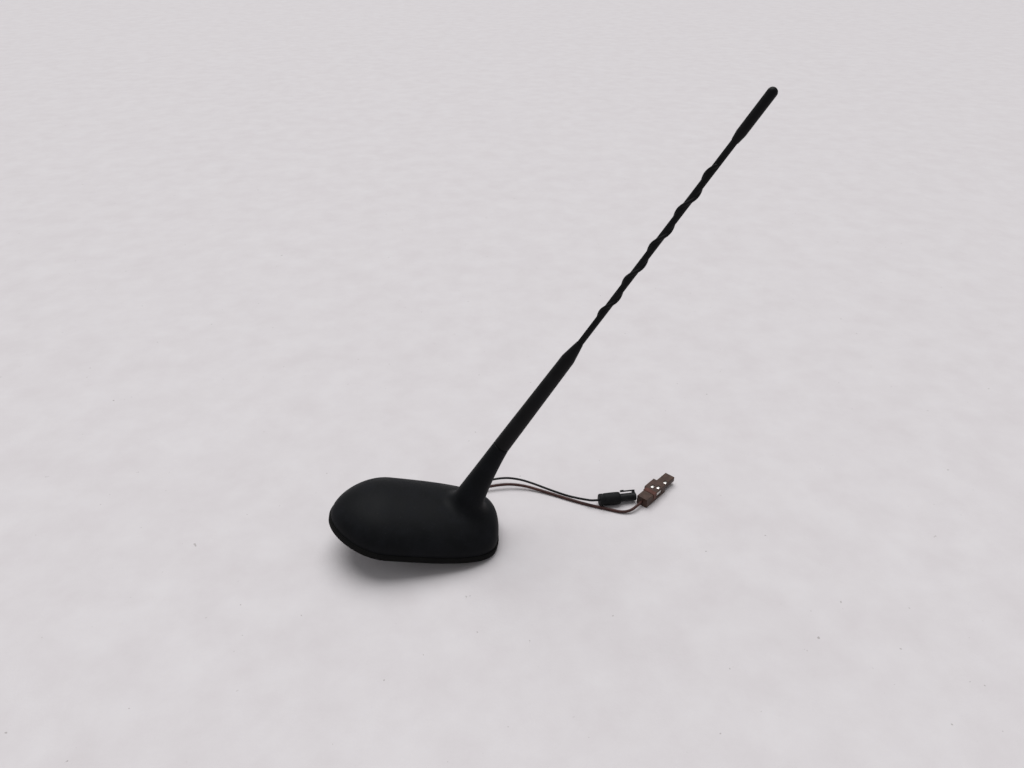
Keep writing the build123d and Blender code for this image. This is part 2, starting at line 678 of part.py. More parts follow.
arm_plane = Plane(jack_plane.location * Rotation(0, 0, ARM_ROLL))
arm_top = JACK_RADIUS + ARM_GAP + ARM_THICKNESS
with BuildPart() as black_plug:
    with BuildSketch(jack_plane):
        Circle(JACK_STUB_RADIUS)
    extrude(amount=-JACK_STUB_LENGTH)
    with BuildSketch(jack_plane):
        Circle(JACK_RADIUS)
    extrude(amount=JACK_LENGTH)
    fillet(black_plug.faces().sort_by(boot_axis)[-1].edges(), JACK_ROUNDING)
    with BuildSketch(arm_plane.offset(JACK_LENGTH - ARM_ROOT)):
        with Locations((arm_top, 0)):
            Rectangle(arm_top, ARM_WIDTH, align=(Align.MAX, Align.CENTER))
    extrude(amount=ARM_ROOT - JACK_ROUNDING)
    with BuildSketch(arm_plane.offset(JACK_LENGTH - ARM_LENGTH)):
        with Locations((arm_top, 0)):
            Rectangle(ARM_THICKNESS, ARM_WIDTH, align=(Align.MAX, Align.CENTER))
    extrude(amount=ARM_LENGTH - ARM_ROOT)
    with BuildSketch(arm_plane.offset(JACK_LENGTH - ARM_LENGTH)):
        with Locations((arm_top, 0)):
            Rectangle(ARM_HOOK, ARM_WIDTH, align=(Align.MIN, Align.CENTER))
    extrude(amount=ARM_ROOT)
    with BuildSketch(jack_plane.offset(JACK_LENGTH)):
        Circle(JACK_BORE_RADIUS)
    extrude(amount=-JACK_BORE_DEPTH, mode=Mode.SUBTRACT)
    with BuildSketch(jack_plane.offset(JACK_LENGTH - JACK_BORE_DEPTH)):
        Circle(SLEEVE_RADIUS + JACK_CLEARANCE)
    extrude(amount=-SLEEVE_SEAT, mode=Mode.SUBTRACT)
finish(black_plug.part, "black_plug")

with BuildPart() as black_contact:
    with BuildSketch(jack_plane.offset(JACK_LENGTH - JACK_BORE_DEPTH - SLEEVE_SEAT)):
        Circle(SLEEVE_RADIUS)
    extrude(amount=SLEEVE_LENGTH)
    with BuildSketch(jack_plane.offset(JACK_LENGTH - JACK_BORE_DEPTH)):
        Circle(SLEEVE_BORE_RADIUS)
    extrude(amount=SLEEVE_LENGTH - SLEEVE_SEAT, mode=Mode.SUBTRACT)
finish(black_contact.part, "black_contact")

# Brown connector, lying flat on the table at the end of its lead
housing_place = lead_end(brown_points)
housing_floor = housing_place.offset(-HOUSING_HEIGHT / 2)
housing_top = housing_place.offset(HOUSING_HEIGHT / 2)
housing_axis = Axis(housing_place.origin, housing_place.x_dir)
chamber_level = housing_place.offset(CHAMBER_RISE)
side_level = Plane(chamber_level.origin, x_dir=chamber_level.x_dir, z_dir=-chamber_level.y_dir)
rear_face = Plane(housing_place.origin, x_dir=housing_place.y_dir, z_dir=housing_place.x_dir)
snout_face = rear_face.offset(HOUSING_LENGTH + SNOUT_LENGTH)
lock_face = rear_face.offset(LOCK_FROM_REAR)
chamber_places = [(-CHAMBER_SPACING / 2, CHAMBER_RISE), (CHAMBER_SPACING / 2, CHAMBER_RISE)]
terminal_size = CHAMBER_SIZE - 2 * TERMINAL_CLEARANCE
with BuildPart() as brown_plug:
    with BuildSketch(housing_floor):
        Rectangle(HOUSING_LENGTH, HOUSING_WIDTH, align=(Align.MIN, Align.CENTER))
    extrude(amount=HOUSING_HEIGHT)
    with BuildSketch(housing_floor.offset(SNOUT_LIFT)):
        with Locations((HOUSING_LENGTH, HOUSING_WIDTH / 2)):
            Rectangle(SNOUT_LENGTH, HOUSING_WIDTH - SNOUT_STEP, align=(Align.MIN, Align.MAX))
    extrude(amount=HOUSING_HEIGHT - SNOUT_DROP - SNOUT_LIFT)
    fillet(brown_plug.edges().filter_by(housing_axis), HOUSING_ROUNDING)
    with BuildSketch(housing_top):
        with Locations((HOUSING_LENGTH, 0)):
            Rectangle(
                LATCH_LENGTH,
                HOUSING_WIDTH / 2 + LATCH_THICKNESS,
                align=(Align.MAX, Align.MIN),
            )
    extrude(amount=-LATCH_HEIGHT)
    with BuildSketch(snout_face):
        with Locations(*chamber_places):
            Rectangle(CHAMBER_SIZE, CHAMBER_SIZE)
    extrude(amount=-CHAMBER_DEPTH, mode=Mode.SUBTRACT)
    with BuildSketch(housing_top):
        with Locations(*[(along, side * CHAMBER_SPACING / 2) for along, side, drop in WINDOW_PLACES]):
            Rectangle(WINDOW_LENGTH, WINDOW_WIDTH)
    extrude(amount=CHAMBER_RISE - HOUSING_HEIGHT / 2, mode=Mode.SUBTRACT)
    with BuildSketch(side_level):
        with Locations((SIDE_WINDOW_FROM_REAR, 0)):
            Rectangle(SIDE_WINDOW_LENGTH, SIDE_WINDOW_HEIGHT)
    extrude(amount=HOUSING_WIDTH, mode=Mode.SUBTRACT)
    with BuildSketch(lock_face.offset(-LOCK_CLEARANCE)):
        add(saddle(LOCK_CLEARANCE))
    extrude(amount=LOCK_WIDTH + 2 * LOCK_CLEARANCE, mode=Mode.SUBTRACT)
finish(brown_plug.part, "brown_plug")

with BuildPart() as brown_lock:
    with BuildSketch(lock_face):
        add(saddle(0))
    extrude(amount=LOCK_WIDTH)
finish(brown_lock.part, "brown_lock")

# Terminals in the two chambers, with lances that stand in the windows
with BuildPart() as brown_contacts:
    with BuildSketch(snout_face.offset(-CHAMBER_DEPTH)):
        with Locations(*chamber_places):
            Rectangle(terminal_size, terminal_size)
    extrude(amount=TERMINAL_LENGTH)
    with BuildSketch(snout_face.offset(TERMINAL_LENGTH - CHAMBER_DEPTH)):
        with Locations(*chamber_places):
            Rectangle(TERMINAL_BORE, TERMINAL_BORE)
    extrude(amount=-TERMINAL_BORE_DEPTH, mode=Mode.SUBTRACT)
    for along, side, drop in WINDOW_PLACES:
        with BuildSketch(chamber_level):
            with Locations((along, side * CHAMBER_SPACING / 2)):
                Rectangle(WINDOW_LENGTH - 2 * LANCE_CLEARANCE, WINDOW_WIDTH - 2 * LANCE_CLEARANCE)
        extrude(amount=HOUSING_HEIGHT / 2 - CHAMBER_RISE - drop - LANCE_SINK)
    with BuildSketch(side_level.offset(CHAMBER_SPACING / 2)):
        with Locations((SIDE_WINDOW_FROM_REAR, 0)):
            Rectangle(SIDE_WINDOW_LENGTH - 2 * LANCE_CLEARANCE, SIDE_WINDOW_HEIGHT - 2 * LANCE_CLEARANCE)
    extrude(amount=(HOUSING_WIDTH - CHAMBER_SPACING) / 2 - LANCE_SINK)
finish(brown_contacts.part, "brown_contacts")
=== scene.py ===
"""Looks of the car roof antenna: finishes, leads, threads and small mouldings, lying on a pale table."""

import json
import logging
import math
from contextlib import contextmanager
from dataclasses import dataclass, field
from enum import Enum
from typing import Iterator, Optional, Sequence, Union

import bpy
from mathutils import Matrix, Vector


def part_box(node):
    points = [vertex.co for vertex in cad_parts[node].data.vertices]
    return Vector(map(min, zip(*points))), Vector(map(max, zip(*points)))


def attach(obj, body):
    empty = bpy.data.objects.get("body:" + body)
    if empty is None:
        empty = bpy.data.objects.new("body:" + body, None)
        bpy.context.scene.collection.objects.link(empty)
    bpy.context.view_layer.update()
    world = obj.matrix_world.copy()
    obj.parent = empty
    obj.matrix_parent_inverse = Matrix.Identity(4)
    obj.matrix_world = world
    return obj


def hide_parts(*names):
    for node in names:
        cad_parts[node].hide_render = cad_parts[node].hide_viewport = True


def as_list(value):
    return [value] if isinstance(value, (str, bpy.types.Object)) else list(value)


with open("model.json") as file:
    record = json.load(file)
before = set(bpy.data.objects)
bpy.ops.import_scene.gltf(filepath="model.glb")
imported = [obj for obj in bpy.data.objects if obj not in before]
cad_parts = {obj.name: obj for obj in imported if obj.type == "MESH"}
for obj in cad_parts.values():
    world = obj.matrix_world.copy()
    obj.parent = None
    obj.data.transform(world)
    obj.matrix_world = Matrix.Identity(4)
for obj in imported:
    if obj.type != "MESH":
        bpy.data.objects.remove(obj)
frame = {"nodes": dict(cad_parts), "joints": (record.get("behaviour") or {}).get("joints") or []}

LOG = logging.getLogger("antenna")
MM = 0.001
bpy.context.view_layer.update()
Colour = tuple[float, float, float]
Point = tuple[float, float, float]
Span = tuple[float, float]
ORIGIN = (0.0, 0.0, 0.0)
# Numbers of the Mix node's sockets for colours.
MIX_SHARE, MIX_FIRST, MIX_SECOND, MIX_RESULT = 0, 6, 7, 2


def srgb(red: int, green: int, blue: int) -> Colour:
    """Colour in linear light, by the constants of the sRGB standard.

    Args:
        red, green, blue: the colour as seen on a screen, 0 to 255.

    Returns:
        The three linear values.
    """
    def linear(level: int) -> float:
        """One channel in linear light."""
        share = level / 255
        return share / 12.92 if share <= 0.04045 else ((share + 0.055) / 1.055) ** 2.4

    return linear(red), linear(green), linear(blue)


class Shade:
    """A value in a shader tree, on which arithmetic adds Math nodes."""

    def __init__(self, sheet: "ShaderSheet", socket: bpy.types.NodeSocket) -> None:
        """Keep the socket and the sheet that it is on."""
        self.sheet = sheet
        self.socket = socket

    def math(self, operation: str, first: "Term", second: "Term") -> "Shade":
        """Add one Math node.

        Args:
            operation: the node's operation.
            first, second: its two terms, each a value or a number.

        Returns:
            The node's result.
        """
        return self.sheet.node(
            "ShaderNodeMath", {"operation": operation}, {0: first, 1: second}, output="Value"
        )

    def __add__(self, other: "Term") -> "Shade":
        """Sum."""
        return self.math("ADD", self, other)

    __radd__ = __add__

    def __mul__(self, other: "Term") -> "Shade":
        """Product."""
        return self.math("MULTIPLY", self, other)

    __rmul__ = __mul__


Term = Union[Shade, float, int, tuple]


class ShaderSheet:
    """Node tree of one material, with its Principled shader."""

    def __init__(self, name: str) -> None:
        """Start a material with an empty tree, a shader and an output.

        Args:
            name: name of the material.
        """
        self.material = bpy.data.materials.new(name)
        self.material.use_nodes = True
        self.tree = self.material.node_tree
        self.tree.nodes.clear()
        self.shader = self.tree.nodes.new("ShaderNodeBsdfPrincipled")
        out = self.tree.nodes.new("ShaderNodeOutputMaterial")
        self.tree.links.new(self.shader.outputs["BSDF"], out.inputs["Surface"])

    def node(
        self,
        kind: str,
        settings: Optional[dict] = None,
        inputs: Optional[dict] = None,
        output: Union[str, int] = 0,
    ) -> Shade:
        """Add any node.

        Args:
            kind: the node's type.
            settings: attributes to set first; "stops" fills a colour ramp.
            inputs: values or links by socket name or number.
            output: the socket to hand back.

        Returns:
            The chosen output.
        """
        made = self.tree.nodes.new(kind)
        for key, value in (settings or {}).items():
            if key == "stops":
                while len(made.color_ramp.elements) < len(value):
                    made.color_ramp.elements.new(1.0)
                for element, (place, level) in zip(made.color_ramp.elements, value):
                    element.position = place
                    element.color = (level, level, level, 1.0)
            else:
                setattr(made, key, value)
        for key, value in (inputs or {}).items():
            self.feed(made.inputs[key], value)
        return Shade(self, made.outputs[output])

    def feed(self, socket: bpy.types.NodeSocket, value: Term) -> None:
        """Link a value to a socket, or set a number or colour on it.

        Args:
            socket: the input to fill.
            value: a value, a number or a colour.
        """
        if isinstance(value, Shade):
            self.tree.links.new(value.socket, socket)
        elif isinstance(value, tuple) and socket.type == "RGBA":
            socket.default_value = (*value[:3], 1.0)
        else:
            socket.default_value = value

    def place(self) -> Shade:
        """Place on the piece, in metres."""
        return self.node("ShaderNodeTexCoord", output="Object")

    def noise(self, size: float, detail: float = 3.0, rough: float = 0.5) -> Shade:
        """Cloudy noise.

        Args:
            size: width of a cloud, in metres.
            detail: octaves.
            rough: strength of the finer octaves.

        Returns:
            A value about 0.5.
        """
        return self.node(
            "ShaderNodeTexNoise",
            {"normalize": True},
            {"Vector": self.place(), "Scale": 1.0 / size, "Detail": detail, "Roughness": rough},
            output="Fac",
        )

    def steps(self, value: Shade, span: Span) -> Shade:
        """Value spread so that the low end of a span becomes 0 and its high end 1."""
        stops = list(zip(span, (0.0, 1.0)))
        return self.node("ShaderNodeValToRGB", {"stops": stops}, {"Fac": value}, output="Color")

    def blend(self, share: Term, first: Term, second: Term) -> Shade:
        """Colour between two others.

        Args:
            share: 0 for the first colour, 1 for the second.
            first, second: the colours.

        Returns:
            The blended colour.
        """
        inputs = {MIX_SHARE: share, MIX_FIRST: first, MIX_SECOND: second}
        return self.node("ShaderNodeMix", {"data_type": "RGBA"}, inputs, output=MIX_RESULT)

    def bump(self, height: Shade, depth: float) -> None:
        """Raise the surface by a height, depth metres at most."""
        inputs = {"Strength": 1.0, "Distance": depth, "Height": height}
        self.set(Normal=self.node("ShaderNodeBump", None, inputs, output="Normal"))

    def set(self, **values: Term) -> None:
        """Set or link inputs of the shader, named with underscores for spaces."""
        for name, value in values.items():
            self.feed(self.shader.inputs[name.replace("_", " ")], value)


@dataclass(frozen=True)
class MouldedFinish:
    """Dark or coloured moulded plastic or rubber with a fine grain, handling marks and a little dust.

    Sizes are in metres. A span is where a noise starts to show and where it shows in full.
    """

    name: str
    colour: Colour
    worn: Colour
    roughness: float = 0.55
    specular: float = 0.3
    grain: float = 0.00035
    grain_depth: float = 0.00004
    cloud: float = 0.012
    cloud_relief: float = 0.6
    marks: Span = (0.42, 0.66)
    marks_dulling: float = 0.12
    dust: Colour = srgb(120, 116, 110)
    dust_share: float = 0.05
    dust_dulling: float = 0.5
    dust_grains: float = 3.0
    specks: Span = (0.64, 0.76)
    facing_up: Span = (0.2, 0.95)

    def material(self) -> bpy.types.Material:
        """Build the finish.

        Returns:
            The material.
        """
        sheet = ShaderSheet(self.name)
        clouds = sheet.noise(self.cloud, detail=4.0, rough=0.6)
        marks = sheet.steps(clouds, self.marks)
        specks = sheet.steps(sheet.noise(self.grain * self.dust_grains, detail=2.0), self.specks)
        upward = sheet.steps(self.upward(sheet), self.facing_up)
        dusty = specks * upward * self.dust_share
        tone = sheet.blend(marks, self.colour, self.worn)
        dullness = marks * self.marks_dulling + (self.roughness - self.marks_dulling / 2)
        sheet.set(
            Base_Color=sheet.blend(dusty, tone, self.dust),
            Roughness=dullness + dusty * self.dust_dulling,
            Specular_IOR_Level=self.specular,
        )
        grain = sheet.noise(self.grain, detail=2.0, rough=0.6)
        sheet.bump(grain + clouds * self.cloud_relief, self.grain_depth)
        return sheet.material

    def upward(self, sheet: ShaderSheet) -> Shade:
        """How far the surface faces up."""
        normal = sheet.node("ShaderNodeNewGeometry", output="Normal")
        return sheet.node("ShaderNodeSeparateXYZ", None, {"Vector": normal}, output="Z")


@dataclass(frozen=True)
class MetalFinish:
    """Bare or plated metal with fine scratches and duller patches, its sizes in metres."""

    name: str
    colour: Colour
    dull: Colour
    roughness: float = 0.35
    cloud: float = 0.004
    patches: Span = (0.4, 0.7)
    patch_dulling: float = 0.2
    scratch: float = 0.0002
    scratch_dulling: float = 0.1
    scratch_depth: float = 0.00002

    def material(self) -> bpy.types.Material:
        """Build the finish.

        Returns:
            The material.
        """
        sheet = ShaderSheet(self.name)
        patches = sheet.steps(sheet.noise(self.cloud, detail=5.0, rough=0.65), self.patches)
        fine = sheet.noise(self.scratch, detail=3.0)
        dullness = patches * self.patch_dulling + fine * self.scratch_dulling
        sheet.set(
            Base_Color=sheet.blend(patches, self.colour, self.dull),
            Roughness=dullness + (self.roughness - self.scratch_dulling / 2),
            Metallic=1.0,
        )
        sheet.bump(fine, self.scratch_depth)
        return sheet.material


@dataclass(frozen=True)
class BoardFinish:
    """Green circuit board with paler tracks under its resist, its pitch in metres."""

    name: str
    resist: Colour
    track: Colour
    roughness: float = 0.25
    mottle: float = 0.1
    pitch: float = 0.004
    track_share: float = 0.12
    island_pitches: float = 2.0

    def material(self) -> bpy.types.Material:
        """Build the finish.

        Returns:
            The material.
        """
        sheet = ShaderSheet(self.name)
        cells = sheet.node(
            "ShaderNodeTexBrick",
            {"offset": 0.5},
            {
                "Vector": sheet.place(),
                "Scale": 1.0,
                "Mortar Size": self.pitch * self.track_share,
                "Brick Width": self.pitch * self.island_pitches,
                "Row Height": self.pitch,
            },
            output="Fac",
        )
        sheet.set(
            Base_Color=sheet.blend(cells, self.resist, self.track),
            Roughness=sheet.noise(self.pitch) * self.mottle + self.roughness,
        )
        return sheet.material


@dataclass(frozen=True)
class TableFinish:
    """Pale painted table top, faintly mottled, with a few specks of dirt, its sizes in metres."""

    name: str
    colour: Colour
    shaded: Colour
    dirt: Colour
    roughness: float = 0.65
    mottle: float = 0.1
    specular: float = 0.2
    cloud: float = 0.03
    clouds: Span = (0.3, 0.7)
    speck: float = 0.0035
    specks: Span = (0.79, 0.83)
    dirt_share: float = 0.5
    paint: float = 0.0015
    paint_depth: float = 0.00006

    def material(self) -> bpy.types.Material:
        """Build the finish.

        Returns:
            The material.
        """
        sheet = ShaderSheet(self.name)
        clouds = sheet.steps(sheet.noise(self.cloud, detail=5.0, rough=0.6), self.clouds)
        specks = sheet.steps(sheet.noise(self.speck, detail=1.0), self.specks)
        mottled = sheet.blend(clouds, self.colour, self.shaded)
        sheet.set(
            Base_Color=sheet.blend(specks * self.dirt_share, mottled, self.dirt),
            Roughness=clouds * self.mottle + self.roughness,
            Specular_IOR_Level=self.specular,
        )
        sheet.bump(sheet.noise(self.paint, detail=3.0), self.paint_depth)
        return sheet.material


class Finish(Enum):
    """The finishes of the antenna and its table."""

    # Mouldings and metals: colour, worn or dull colour, roughness and, for mouldings, specular level.
    COVER = MouldedFinish("cover_plastic", srgb(18, 19, 21), srgb(23, 24, 27), 0.55, 0.06)
    GASKET = MouldedFinish("gasket_rubber", srgb(16, 16, 16), srgb(21, 21, 20), 0.72, 0.05)
    MAST = MouldedFinish("mast_plastic", srgb(17, 17, 18), srgb(23, 23, 24), 0.5, 0.1)
    BOOT = MouldedFinish("boot_rubber", srgb(20, 21, 22), srgb(28, 29, 29), 0.6, 0.12, cloud=0.004)
    BLACK_NYLON = MouldedFinish("black_nylon", srgb(20, 20, 21), srgb(30, 30, 31), 0.45, 0.18, cloud=0.003)
    BROWN_NYLON = MouldedFinish("brown_nylon", srgb(64, 47, 40), srgb(80, 60, 52), 0.45, 0.2, cloud=0.004)
    LOCK_NYLON = MouldedFinish("lock_nylon", srgb(77, 42, 34), srgb(90, 52, 42), 0.42, 0.2, cloud=0.004)
    BLACK_WIRE = MouldedFinish("black_wire", srgb(18, 18, 19), srgb(26, 26, 27), 0.42, 0.18, cloud=0.006)
    BROWN_WIRE = MouldedFinish("brown_wire", srgb(58, 34, 31), srgb(74, 46, 42), 0.42, 0.2, cloud=0.006)
    ZINC = MetalFinish("cast_zinc", srgb(176, 177, 179), srgb(138, 139, 142), 0.48)
    STEEL = MetalFinish("screw_steel", srgb(188, 188, 190), srgb(146, 146, 150), 0.34, cloud=0.0015)
    TIN = MetalFinish("contact_tin", srgb(226, 224, 220), srgb(196, 193, 188), 0.3, cloud=0.0012)
    BRASS = MetalFinish("socket_brass", srgb(206, 172, 100), srgb(160, 124, 70), 0.32, cloud=0.002)
    BOARD = BoardFinish("board_laminate", srgb(28, 84, 52), srgb(48, 116, 72))
    TABLE = TableFinish("pale_table", srgb(214, 210, 212), srgb(208, 203, 205), srgb(120, 114, 108))


NODE_FINISHES: dict[str, Finish] = {
    "roof_gasket": Finish.GASKET,
    "base_cover": Finish.COVER,
    "base_plate": Finish.ZINC,
    "circuit_board": Finish.BOARD,
    "board_screws": Finish.STEEL,
    "shield_can": Finish.TIN,
    "mast_socket": Finish.BRASS,
    "feed_rod": Finish.BRASS,
    "lead_grommet": Finish.GASKET,
    "lead_tails": Finish.BROWN_WIRE,
    "black_plug": Finish.BLACK_NYLON,
    "black_contact": Finish.TIN,
    "brown_lock": Finish.LOCK_NYLON,
    "brown_contacts": Finish.TIN,
    "mast_seal": Finish.GASKET,
    "mast_foot": Finish.MAST,
    "whip": Finish.MAST,
    "tip_cap": Finish.MAST,
}


class Palette:
    """Materials made once and handed out by finish."""

    def __init__(self) -> None:
        """Start with no materials."""
        self.made: dict[Finish, bpy.types.Material] = {}

    def get(self, finish: Finish) -> bpy.types.Material:
        """Material of a finish, made at its first use.

        Args:
            finish: the finish.

        Returns:
            The material.
        """
        if finish not in self.made:
            self.made[finish] = finish.value.material()
        return self.made[finish]

    def dress(self, piece: bpy.types.Object, finish: Finish) -> None:
        """Give a piece one finish all over."""
        piece.data.materials.clear()
        piece.data.materials.append(self.get(finish))


@dataclass
class Table:
    """The table on which the tail of the base and the foot of the stud rest, in metres."""

    stud_foot_radius: float = 6.0 * MM
    half_width: float = 12.0
    cells: int = 8
    tail: float = field(init=False)
    slope: float = field(init=False)

    def __post_init__(self) -> None:
        """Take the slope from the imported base."""
        self.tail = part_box("roof_gasket")[0][0]
        self.slope = -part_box("base_plate")[0][2] / (-self.stud_foot_radius - self.tail)

    def frame(self) -> Matrix:
        """Place of the table: X aft along it, Y to the right, Z up from it.

        Returns:
            The table's matrix in the part's frame.
        """
        aft = Vector((-1.0, 0.0, self.slope)).normalized()
        up = Vector((self.slope, 0.0, 1.0)).normalized()
        right = up.cross(aft)
        turned = Matrix((aft, right, up)).transposed().to_4x4()
        return Matrix.Translation((self.tail, 0.0, 0.0)) @ turned

    def point(self, aft: float, right: float, height: float) -> Vector:
        """Point in the part's frame, from millimetres along and above the table."""
        return self.frame() @ Vector((aft * MM, right * MM, height * MM))

    def build(self, palette: Palette) -> bpy.types.Object:
        """Lay the table top.

        Args:
            palette: the materials.

        Returns:
            The table top.
        """
        bpy.ops.object.select_all(action="DESELECT")
        bpy.ops.mesh.primitive_grid_add(
            x_subdivisions=self.cells, y_subdivisions=self.cells, size=2.0 * self.half_width
        )
        top = bpy.context.object
        top.name = "table_top"
        top.data.transform(self.frame())
        palette.dress(top, Finish.TABLE)
        return top


@dataclass
class Studio:
    """Camera at the photograph's view, wide soft lamp overhead and an even sky.

    Places are in metres, the sensor in millimetres and the lamp's spread in radians.
    """

    camera_place: Point = (0.05589, 0.39962, 0.35093)
    look: Point = (-0.22727, -0.84042, -0.49198)
    up: Point = (0.11973, -0.52548, 0.84234)
    focal_pixels: float = 790.0
    image_width: float = 1024.0
    sensor: float = 36.0
    near: float = 0.01
    far: float = 50.0
    sky: Colour = (0.98, 0.985, 1.0)
    sky_strength: float = 0.34
    lamp_from: Point = (0.8, -1.2, 3.0)
    lamp_spread: float = 0.94
    lamp_power: float = 2.38

    def build(self) -> None:
        """Place the camera and the lights."""
        self.place_camera()
        self.light_sky()
        self.hang_lamp()
        bpy.context.scene.view_settings.view_transform = "Standard"

    def place_camera(self) -> None:
        """Add the camera."""
        data = bpy.data.cameras.new("photo_view")
        data.sensor_fit = "HORIZONTAL"
        data.sensor_width = self.sensor
        data.lens = self.sensor * self.focal_pixels / self.image_width
        data.clip_start = self.near
        data.clip_end = self.far
        camera = bpy.data.objects.new("photo_view", data)
        bpy.context.scene.collection.objects.link(camera)
        look = Vector(self.look).normalized()
        right = look.cross(Vector(self.up)).normalized()
        above = right.cross(look)
        turned = Matrix((right, above, -look)).transposed().to_4x4()
        camera.matrix_world = Matrix.Translation(self.camera_place) @ turned
        bpy.context.scene.camera = camera

    def light_sky(self) -> None:
        """Give the world an even, pale light."""
        world = bpy.data.worlds.new("studio_sky")
        world.use_nodes = True
        background = world.node_tree.nodes["Background"]
        background.inputs["Color"].default_value = (*self.sky, 1.0)
        background.inputs["Strength"].default_value = self.sky_strength
        bpy.context.scene.world = world

    def hang_lamp(self) -> None:
        """Hang the wide, soft lamp, facing the base."""
        data = bpy.data.lights.new("soft_lamp", "SUN")
        data.angle = self.lamp_spread
        data.energy = self.lamp_power
        lamp = bpy.data.objects.new("soft_lamp", data)
        bpy.context.scene.collection.objects.link(lamp)
        lamp.location = self.lamp_from
        aim = -Vector(self.lamp_from).normalized()
        lamp.rotation_euler = aim.to_track_quat("-Z", "Y").to_euler()


@dataclass
class Lead:
    """One wire, from the grommet in the stud across the table to its connector.

    Sizes are in millimetres, apart from the real length, in metres. The route is measured on the table.
    The side is 1 towards the nose and -1 towards the tail.
    """

    name: str
    node: str
    slot: str
    finish: Finish
    side: int
    radius: float
    length: float
    route: list[Point]
    spacing: float = 2.8
    exit_y: float = -8.2
    exit_z: float = -8.0
    exit_run: float = 6.5
    round_steps: int = 5
    run_steps: int = 10

    def points(self, table: Table) -> list[Vector]:
        """Control points of the wire.

        Args:
            table: the table that the route is measured on.

        Returns:
            The points in the part's frame, in metres.
        """
        leaves = Vector((self.side * self.spacing / 2, self.exit_y, self.exit_z)) * MM
        clears = leaves - Vector((0.0, self.exit_run * MM, 0.0))
        return [leaves, clears] + [table.point(*place) for place in self.route]

    def end_frame(self, table: Table) -> Matrix:
        """Place of the wire's far end.

        Args:
            table: the table that the route is measured on.

        Returns:
            The end's matrix, X on along the wire and Z up from the table.
        """
        before, end = self.points(table)[-2:]
        ahead = (end - before).normalized()
        left = table.frame().to_3x3().col[2].cross(ahead).normalized()
        turned = Matrix((ahead, left, ahead.cross(left))).transposed().to_4x4()
        return Matrix.Translation(end) @ turned

    def build(self, table: Table, palette: Palette, fittings: list[bpy.types.Object]) -> bpy.types.Object:
        """Lay the wire as one smooth curve.

        Args:
            table: the table that it lies on.
            palette: the materials.
            fittings: the pieces of its connector; not used.

        Returns:
            The wire.
        """
        points = self.points(table)
        data = bpy.data.curves.new(self.name, "CURVE")
        data.dimensions = "3D"
        data.bevel_depth = self.radius * MM
        data.bevel_resolution = self.round_steps
        data.resolution_u = self.run_steps
        data.use_fill_caps = True
        spline = data.splines.new("NURBS")
        spline.points.add(len(points) - 1)
        for control, place in zip(spline.points, points):
            control.co = (*place, 1.0)
        spline.order_u = 3
        spline.use_endpoint_u = True
        wire = bpy.data.objects.new(self.name, data)
        bpy.context.scene.collection.objects.link(wire)
        palette.dress(wire, self.finish)
        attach(wire, "base")
        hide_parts(self.node)
        tuple(points[0])
        2.0 * self.radius * MM
        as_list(fittings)
        return wire


BLACK_LEAD = Lead(
    name="black_wire",
    node="black_lead",
    slot="black_wire",
    finish=Finish.BLACK_WIRE,
    side=1,
    radius=0.8,
    length=0.177,
    route=[
        (-68.5, 24.0, 4.4),
        (-61.0, 33.0, 3.0),
        (-47.0, 40.0, 2.2),
        (-28.0, 44.5, 2.2),
        (-9.0, 49.2, 3.4),
        (10.0, 51.9, 4.8),
        (22.0, 49.2, 4.2),
        (31.5, 44.3, 3.2),
        (42.5, 36.8, 2.2),
        (53.5, 29.8, 1.4),
        (61.0, 24.6, 2.3),
        (65.9, 20.0, 4.3),
        (70.0, 17.2, 5.25),
        (75.0, 17.6, 5.0),
    ],
)
BROWN_LEAD = Lead(
    name="brown_wire",
    node="brown_lead",
    slot="brown_wire",
    finish=Finish.BROWN_WIRE,
    side=-1,
    radius=1.0,
    length=0.201,
    route=[
        (-64.0, 23.0, 3.6),
        (-56.5, 29.5, 2.2),
        (-43.0, 35.5, 1.6),
        (-25.0, 40.0, 2.0),
        (-6.0, 43.9, 3.2),
        (12.0, 45.4, 3.8),
        (24.0, 43.2, 2.9),
        (33.5, 39.0, 1.8),
        (44.0, 33.0, 1.1),
        (56.0, 24.9, 1.05),
        (69.0, 17.2, 1.05),
        (80.0, 11.8, 1.05),
        (89.0, 7.1, 1.1),
        (95.5, 6.9, 2.2),
        (100.6, 10.0, 3.5),
        (104.9, 13.6, 3.5),
    ],
)


